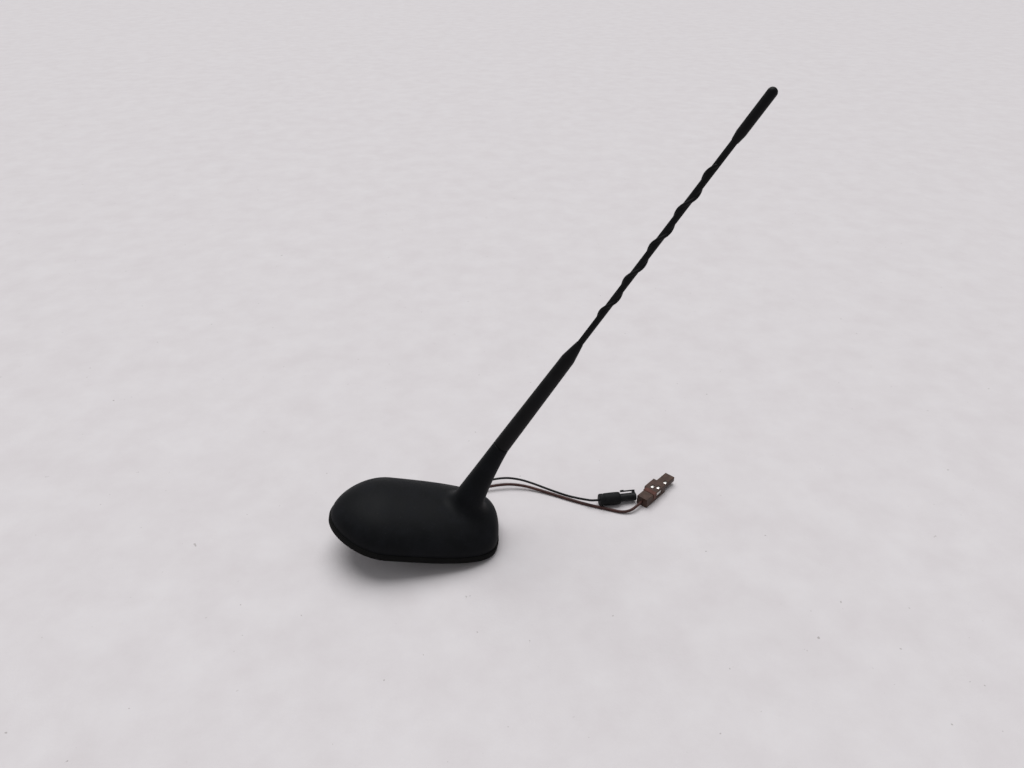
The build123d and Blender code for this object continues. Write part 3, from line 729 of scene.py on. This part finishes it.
class Bench:
    """Steps that the modelled pieces share."""

    @staticmethod
    def pick(*pieces: bpy.types.Object) -> None:
        """Select some pieces alone.

        Args:
            pieces: the pieces, of which the first one becomes active.
        """
        bpy.ops.object.select_all(action="DESELECT")
        for piece in pieces:
            piece.select_set(True)
        bpy.context.view_layer.objects.active = pieces[0]

    @staticmethod
    def start(kind: str, name: str, **settings: Union[int, float, str]) -> bpy.types.Object:
        """Add a primitive to shape.

        Args:
            kind: its operator, without the common beginning.
            name: name of the piece.
            settings: the operator's own settings.

        Returns:
            The primitive.
        """
        bpy.ops.object.select_all(action="DESELECT")
        getattr(bpy.ops.mesh, f"primitive_{kind}_add")(**settings)
        bpy.context.object.name = name
        return bpy.context.object

    @staticmethod
    @contextmanager
    def editing(piece: bpy.types.Object) -> Iterator[None]:
        """Edit a piece, with all of it selected at first.

        Args:
            piece: the piece.

        Returns:
            A context that stays in edit mode until it ends.
        """
        Bench.pick(piece)
        bpy.ops.object.mode_set(mode="EDIT")
        bpy.ops.mesh.select_all(action="SELECT")
        yield
        bpy.ops.object.mode_set(mode="OBJECT")

    @staticmethod
    def shape(piece: bpy.types.Object, size: Point, shift: Point, turn: float = 0.0) -> None:
        """Turn a piece about X, then size and shift it.

        Args:
            piece: the piece, made about the origin.
            size: how many times larger it gets along each axis.
            shift: how far it is moved then, in metres.
            turn: the turn about X, in radians.
        """
        with Bench.editing(piece):
            if turn:
                bpy.ops.transform.rotate(value=turn, orient_axis="X", center_override=ORIGIN)
            bpy.ops.transform.resize(value=size, center_override=ORIGIN)
            bpy.ops.transform.translate(value=shift)

    @staticmethod
    def close(piece: bpy.types.Object) -> None:
        """Fill the open ends of a piece and turn its faces outwards.

        Args:
            piece: the piece.
        """
        with Bench.editing(piece):
            bpy.ops.mesh.fill_holes(sides=0)
            bpy.ops.mesh.select_all(action="SELECT")
            bpy.ops.mesh.normals_make_consistent(inside=False)

    @staticmethod
    def apply(piece: bpy.types.Object, kind: str, **settings: object) -> None:
        """Add a modifier and apply it.

        Args:
            piece: the piece.
            kind: the modifier's type.
            settings: the modifier's own settings.
        """
        Bench.pick(piece)
        modifier = piece.modifiers.new(kind.lower(), kind)
        for key, value in settings.items():
            setattr(modifier, key, value)
        bpy.ops.object.modifier_apply(modifier=modifier.name)

    @staticmethod
    def rod(
        name: str, radius: float, bottom: float, top: float, chamfer: float, sides: int = 40
    ) -> bpy.types.Object:
        """Rod along Z with chamfered ends.

        Args:
            name: name of the piece.
            radius: its radius, in millimetres.
            bottom, top: heights of its ends, in millimetres.
            chamfer: width of the chamfers, in millimetres.
            sides: flats round it.

        Returns:
            The rod.
        """
        rod = Bench.start("cylinder", name, vertices=sides, radius=1.0, depth=1.0)
        size = (radius * MM, radius * MM, (top - bottom) * MM)
        Bench.shape(rod, size, (0.0, 0.0, (top + bottom) / 2 * MM))
        Bench.apply(rod, "BEVEL", width=chamfer * MM, segments=1, limit_method="ANGLE")
        return rod

    @staticmethod
    def copy(piece: bpy.types.Object, shift: Vector) -> bpy.types.Object:
        """Copy a piece with its own mesh.

        Args:
            piece: the piece.
            shift: how far the copy is moved, in millimetres.

        Returns:
            The copy.
        """
        twin = bpy.data.objects.new(piece.name, piece.data.copy())
        bpy.context.scene.collection.objects.link(twin)
        twin.data.transform(Matrix.Translation(shift * MM))
        return twin

    @staticmethod
    def turned(name: str, profile: Sequence[Span], sides: int = 48) -> bpy.types.Object:
        """Round piece along X, drawn out ring by ring from one end to the other.

        Args:
            name: name of the piece.
            profile: places along X and the radius at each, in millimetres.
            sides: flats round it.

        Returns:
            The piece, closed at both ends.
        """
        start, first_radius = profile[0]
        piece = Bench.start("circle", name, vertices=sides, radius=first_radius * MM, fill_type="NGON")
        with Bench.editing(piece):
            bpy.ops.transform.rotate(value=math.pi / 2, orient_axis="Y", center_override=ORIGIN)
            bpy.ops.transform.translate(value=(start * MM, 0.0, 0.0))
            for (place, radius), (next_place, next_radius) in zip(profile, profile[1:]):
                step = (next_place - place) * MM
                growth = next_radius / radius
                bpy.ops.mesh.extrude_region_move(TRANSFORM_OT_translate={"value": (step, 0.0, 0.0)})
                bpy.ops.transform.resize(value=(1.0, growth, growth), center_override=ORIGIN)
        Bench.close(piece)
        return piece

    @staticmethod
    def block(name: str, size: Point, middle: Point) -> bpy.types.Object:
        """Block of a size about a middle.

        Args:
            name: name of the piece.
            size: its three sides, in millimetres.
            middle: its middle, in millimetres.

        Returns:
            The block.
        """
        block = Bench.start("cube", name, size=1.0)
        Bench.shape(block, tuple(side * MM for side in size), tuple(place * MM for place in middle))
        return block

    @staticmethod
    def cut(piece: bpy.types.Object, cutter: bpy.types.Object) -> None:
        """Cut a piece with another, which is used up."""
        Bench.apply(piece, "BOOLEAN", operation="DIFFERENCE", object=cutter, solver="EXACT")
        bpy.data.objects.remove(cutter)

    @staticmethod
    def twin(node: str, name: str, merge: float = 0.001, flat: float = 1.0) -> bpy.types.Object:
        """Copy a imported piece.

        Args:
            node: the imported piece.
            name: name of the copy.
            merge: how near corners become one, in millimetres.
            flat: the angle up to which faces become one, in degrees.

        Returns:
            The copy, its triangles merged into whole faces.
        """
        piece = bpy.data.objects.new(name, frame["nodes"][node].data.copy())
        bpy.context.scene.collection.objects.link(piece)
        Bench.pick(piece)
        bpy.ops.mesh.customdata_custom_splitnormals_clear()
        with Bench.editing(piece):
            bpy.ops.mesh.remove_doubles(threshold=merge * MM)
            bpy.ops.mesh.dissolve_limited(angle_limit=math.radians(flat))
        return piece

    @staticmethod
    def clean(piece: bpy.types.Object, speck: float = 0.005) -> None:
        """Dissolve edges and faces of a piece that are smaller than a speck, in millimetres."""
        with Bench.editing(piece):
            bpy.ops.mesh.dissolve_degenerate(threshold=speck * MM)

    @staticmethod
    def smooth(piece: bpy.types.Object, degrees: float = 35.0) -> None:
        """Shade a piece smooth where its faces meet at less than an angle."""
        Bench.pick(piece)
        bpy.ops.object.shade_smooth_by_angle(angle=math.radians(degrees))


@dataclass(frozen=True)
class ThreadRidge:
    """Raised thread about the Z axis, in millimetres."""

    root: float
    proud: float
    pitch: float
    start: float
    turns: int
    corners: int = 6
    steps: int = 40
    fullness: float = 0.42

    def build(self, name: str) -> bpy.types.Object:
        """Wind the ridge.

        Args:
            name: name of the piece.

        Returns:
            The ridge, closed at both ends.
        """
        ridge = Bench.start("circle", name, vertices=self.corners, radius=1.0, fill_type="NOTHING")
        size = (self.proud * MM, 1.0, self.pitch * self.fullness * MM)
        Bench.shape(ridge, size, (self.root * MM, 0.0, self.start * MM), turn=math.pi / 2)
        Bench.apply(
            ridge,
            "SCREW",
            axis="Z",
            angle=2.0 * math.pi,
            screw_offset=self.pitch * MM,
            iterations=self.turns,
            steps=self.steps,
            render_steps=self.steps,
        )
        Bench.close(ridge)
        return ridge


@dataclass
class StudThread:
    """Thread on the hollow roof stud, cut through by the slot for the leads, in millimetres."""

    ridge: ThreadRidge = ThreadRidge(root=6.98, proud=0.36, pitch=1.5, start=-12.2, turns=7)
    slot_width: float = 5.5
    reach: float = 10.0
    depth: float = 30.0

    def build(self, palette: Palette) -> bpy.types.Object:
        """Wind the thread and cut the slot.

        Args:
            palette: the materials.

        Returns:
            The thread.
        """
        thread = self.ridge.build("stud_thread")
        slot = (self.slot_width, self.reach, self.depth)
        Bench.cut(thread, Bench.block("slot_cutter", slot, (0.0, -self.reach / 2, 0.0)))
        Bench.smooth(thread)
        palette.dress(thread, Finish.ZINC)
        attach(thread, "base")
        return thread


@dataclass
class MastScrew:
    """Threaded steel end of the mast, with its anchor in the foot, in millimetres."""

    ridge: ThreadRidge = ThreadRidge(root=2.1, proud=0.4, pitch=0.8, start=-9.1, turns=11)
    core_radius: float = 2.15
    core_end: float = -10.0
    point: float = 0.5
    seal: float = 0.8
    anchor_radius: float = 2.9
    anchor_length: float = 17.0

    def build(self, palette: Palette, mast: Matrix) -> bpy.types.Object:
        """Turn the core and the anchor, wind the thread and stand it in the mast.

        Args:
            palette: the materials.
            mast: place of the mast's seat, Z along the mast.

        Returns:
            The screw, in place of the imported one.
        """
        screw = Bench.rod("mast_screw_thread", self.core_radius, self.core_end, self.seal, self.point)
        top = self.seal + self.anchor_length
        anchor = Bench.rod("anchor", self.anchor_radius, self.seal, top, self.point)
        thread = self.ridge.build("thread")
        Bench.pick(screw, anchor, thread)
        bpy.ops.object.join()
        Bench.smooth(screw)
        screw.data.transform(mast)
        palette.dress(screw, Finish.STEEL)
        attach(screw, "mast")
        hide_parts("mast_screw")
        return screw


@dataclass
class CoverScrews:
    """Four screws that hold the plate to the cover, their heads cut with a cross, in millimetres."""

    head_radius: float = 2.6
    head_height: float = 1.8
    shank_radius: float = 1.4
    edge: float = 0.3
    cross_span: float = 3.0
    cross_width: float = 0.75
    cross_depth: float = 0.9

    def build(self, palette: Palette) -> bpy.types.Object:
        """Turn one screw, cut its cross and copy it to the four places.

        Args:
            palette: the materials.

        Returns:
            The four screws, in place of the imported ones.
        """
        low, high = (Vector(corner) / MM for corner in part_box("cover_screws"))
        under = low.z + self.head_height
        screw = Bench.rod("cover_screw_set", self.head_radius, low.z, under, self.edge)
        for span in ((self.cross_span, self.cross_width), (self.cross_width, self.cross_span)):
            bar = (*span, 2.0 * self.cross_depth)
            Bench.cut(screw, Bench.block("cross_bar", bar, (0.0, 0.0, low.z)))
        shank = Bench.rod("shank", self.shank_radius, under, high.z, self.edge)
        Bench.pick(screw, shank)
        bpy.ops.object.join()
        rows = (low.x + self.head_radius, high.x - self.head_radius)
        sides = (low.y + self.head_radius, high.y - self.head_radius)
        places = [Vector((x, y, 0.0)) for x in rows for y in sides]
        copies = [Bench.copy(screw, place) for place in places[1:]]
        screw.data.transform(Matrix.Translation(places[0] * MM))
        Bench.pick(screw, *copies)
        bpy.ops.object.join()
        Bench.smooth(screw)
        palette.dress(screw, Finish.STEEL)
        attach(screw, "base")
        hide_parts("cover_screws")
        return screw


@dataclass
class BlackBoot:
    """Rubber boot of the black connector, cut square at the wire with a groove behind its collar.

    Each ring is a place along the boot and the radius there, in millimetres.
    """

    profile: tuple[Span, ...] = (
        (0.0, 3.9),
        (0.15, 4.15),
        (0.5, 4.3),
        (2.2, 4.35),
        (2.5, 4.12),
        (3.1, 4.12),
        (3.4, 4.36),
        (6.0, 4.46),
        (9.0, 4.5),
        (12.0, 4.47),
        (14.4, 4.38),
        (14.85, 4.2),
        (15.0, 3.9),
    )
    bore: tuple[Span, ...] = ((9.0, 2.45), (15.5, 2.45))

    def build(self, palette: Palette, place: Matrix) -> bpy.types.Object:
        """Draw out the boot and bore it for the plug.

        Args:
            palette: the materials.
            place: the end of the wire.

        Returns:
            The boot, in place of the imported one.
        """
        boot = Bench.turned("rubber_boot", self.profile)
        Bench.cut(boot, Bench.turned("boot_bore", self.bore))
        Bench.smooth(boot)
        boot.data.transform(place)
        palette.dress(boot, Finish.BOOT)
        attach(boot, "base")
        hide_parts("black_boot")
        return boot


class Wall(Enum):
    """Walls of the brown housing that have windows."""

    TOP = "top"
    SIDE = "side"


@dataclass(frozen=True)
class Window:
    """Opening in a wall of the brown housing, in millimetres from the end of the wire."""

    wall: Wall
    along: float
    across: float
    length: float
    width: float
    face: float

    def block(self, name: str, low: float, high: float, ease: float) -> bpy.types.Object:
        """Block that fills a part of the window.

        Args:
            name: name of the piece.
            low, high: its ends, measured outwards from the wall's face.
            ease: room left on each side of it.

        Returns:
            The block.
        """
        length = self.length - 2.0 * ease
        width = self.width - 2.0 * ease
        depth = high - low
        out = self.face + (low + high) / 2
        if self.wall is Wall.TOP:
            return Bench.block(name, (length, width, depth), (self.along, self.across, out))
        return Bench.block(name, (length, depth, width), (self.along, -out, self.across))


@dataclass
class BrownHousing:
    """Moulded housing of the brown connector, its windows open over tinned lances, in millimetres."""

    # The wall, the place along and across it, the length, the width and the face's distance.
    windows: tuple[Window, ...] = (
        Window(Wall.TOP, 15.7, 1.9, 3.2, 2.3, 3.5),
        Window(Wall.TOP, 17.4, -1.9, 3.2, 2.3, 3.5),
        Window(Wall.TOP, 26.5, -1.9, 3.2, 2.3, 2.7),
        Window(Wall.SIDE, 15.6, 0.6, 6.4, 3.4, 4.2),
    )
    depth: float = 1.7
    proud: float = 0.8
    ease: float = 0.15
    sunk: float = 0.35
    edge: float = 0.18

    def build(self, palette: Palette, place: Matrix) -> list[bpy.types.Object]:
        """Cut and round the housing and set the lances in its windows.

        Args:
            palette: the materials.
            place: the end of the wire, at the middle of the housing's rear face.

        Returns:
            The housing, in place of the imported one, and the lances.
        """
        housing = Bench.twin("brown_plug", "brown_housing")
        housing.data.transform(place.inverted())
        for window in self.windows:
            Bench.cut(housing, window.block("window_cutter", -self.depth, self.proud, 0.0))
        lances = [window.block("tin_lance", -self.depth, -self.sunk, self.ease) for window in self.windows]
        Bench.pick(*lances)
        bpy.ops.object.join()
        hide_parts("brown_plug")
        self.round_off(housing, place, palette, Finish.BROWN_NYLON)
        self.round_off(lances[0], place, palette, Finish.TIN)
        return [housing, lances[0]]

    def round_off(
        self, piece: bpy.types.Object, place: Matrix, palette: Palette, finish: Finish
    ) -> None:
        """Round the edges of a piece, stand it at the end of the wire and dress it.

        Args:
            piece: the piece, made about the origin.
            place: the end of the wire.
            palette: the materials.
            finish: its finish.
        """
        Bench.apply(piece, "BEVEL", width=self.edge * MM, segments=2, limit_method="ANGLE")
        Bench.clean(piece)
        Bench.smooth(piece)
        piece.data.transform(place)
        palette.dress(piece, finish)
        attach(piece, "base")


class Antenna:
    """The whole antenna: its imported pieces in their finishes, and what is added to them."""

    def __init__(self, palette: Palette, table: Table) -> None:
        """Keep the materials and the table."""
        self.palette = palette
        self.table = table

    def dress_nodes(self) -> None:
        """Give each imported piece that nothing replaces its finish."""
        for node, finish in NODE_FINISHES.items():
            self.palette.dress(frame["nodes"][node], finish)
            LOG.info("dressed %s as %s", node, finish.name)

    def cut_threads(self) -> None:
        """Add the threads of the stud and of the mast, and the screws of the cover."""
        thread = StudThread().build(self.palette)
        LOG.info("cut %s", thread.name)
        screw = MastScrew().build(self.palette, self.mast_frame())
        LOG.info("cut %s", screw.name)
        heads = CoverScrews().build(self.palette)
        LOG.info("cut %s", heads.name)

    def mast_frame(self) -> Matrix:
        """Place of the mast's seat.

        Returns:
            The seat's matrix, Z along the mast.
        """
        hinge = next(joint for joint in frame["joints"] if joint["name"] == "mast_turn")
        along = Vector(hinge["axis"]).normalized()
        side = Vector((0.0, 1.0, 0.0))
        turned = Matrix((side, along.cross(side), along)).transposed().to_4x4()
        return Matrix.Translation(hinge["pos_m"]) @ turned

    def lay_leads(self) -> None:
        """Make the boot and the brown housing and lay both wires to their connectors."""
        nodes = frame["nodes"]
        boot = BlackBoot().build(self.palette, BLACK_LEAD.end_frame(self.table))
        LOG.info("turned %s", boot.name)
        moulded = BrownHousing().build(self.palette, BROWN_LEAD.end_frame(self.table))
        for piece in moulded:
            LOG.info("cut %s", piece.name)
        fittings = {
            BLACK_LEAD.name: [boot, nodes["black_plug"], nodes["black_contact"]],
            BROWN_LEAD.name: [*moulded, nodes["brown_lock"], nodes["brown_contacts"]],
        }
        for lead in (BLACK_LEAD, BROWN_LEAD):
            wire = lead.build(self.table, self.palette, fittings[lead.name])
            LOG.info("laid %s", wire.name)


def main() -> None:
    """Build the table, the studio and the antenna."""
    logging.basicConfig(level=logging.INFO)
    palette = Palette()
    table = Table()
    top = table.build(palette)
    LOG.info("laid %s", top.name)
    Studio().build()
    antenna = Antenna(palette, table)
    antenna.dress_nodes()
    antenna.cut_threads()
    antenna.lay_leads()


if __name__ == "__main__":
    main()
